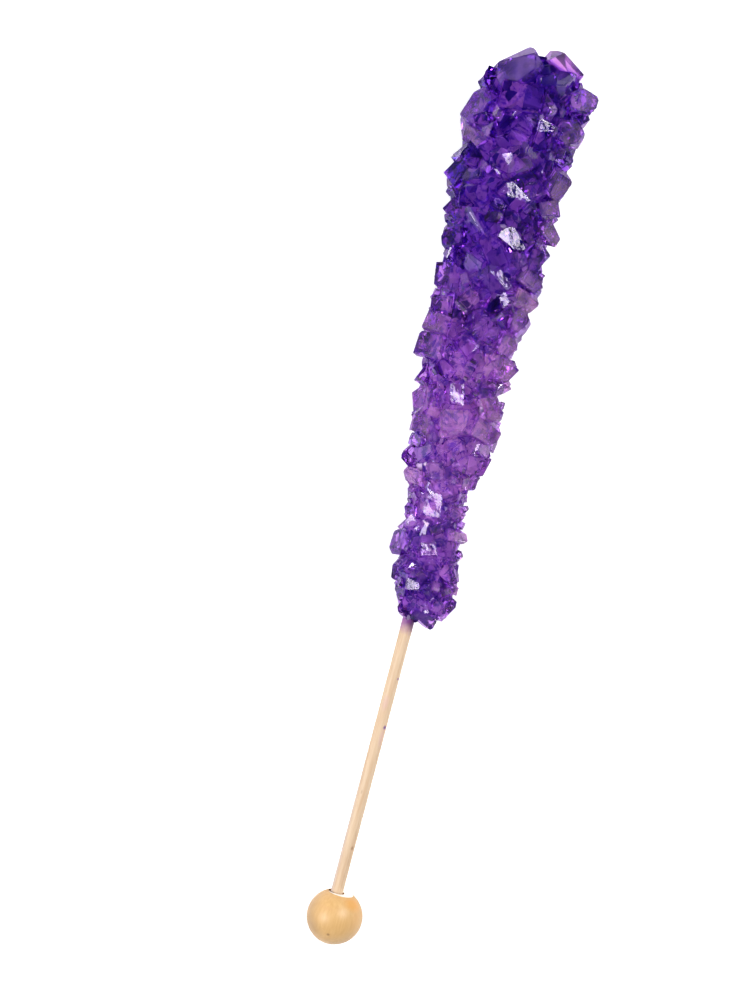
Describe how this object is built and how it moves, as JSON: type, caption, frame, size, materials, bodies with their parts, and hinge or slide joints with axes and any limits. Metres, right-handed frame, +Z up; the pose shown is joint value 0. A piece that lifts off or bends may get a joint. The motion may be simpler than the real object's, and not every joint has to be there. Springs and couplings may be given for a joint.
{
  "type": "rock candy stick",
  "caption": "Rock candy on a stick: violet sugar crystals grown into a thickening club round a thin wooden dowel, with a drilled wooden ball on the dowel's lower end.",
  "frame": {"origin": "middle of the bounding box's underside, on the surface that the stick lies on", "axes": "+Y along the stick, from the ball to the candy's thick end; +Z up from the surface; +X to the right seen from above with the ball nearest"},
  "size_m": [0.0252, 0.1764, 0.0237],
  "materials": {
    "candy": "clear violet sugar crystal, glossy facets",
    "dowel_wood": "bare pale birch, satin",
    "ball_wood": "bare turned birch, satin"
  },
  "bodies": {
    "root": {"rock_candy": "candy", "stick": "dowel_wood", "ball": "ball_wood"}
  },
  "joints": []
}
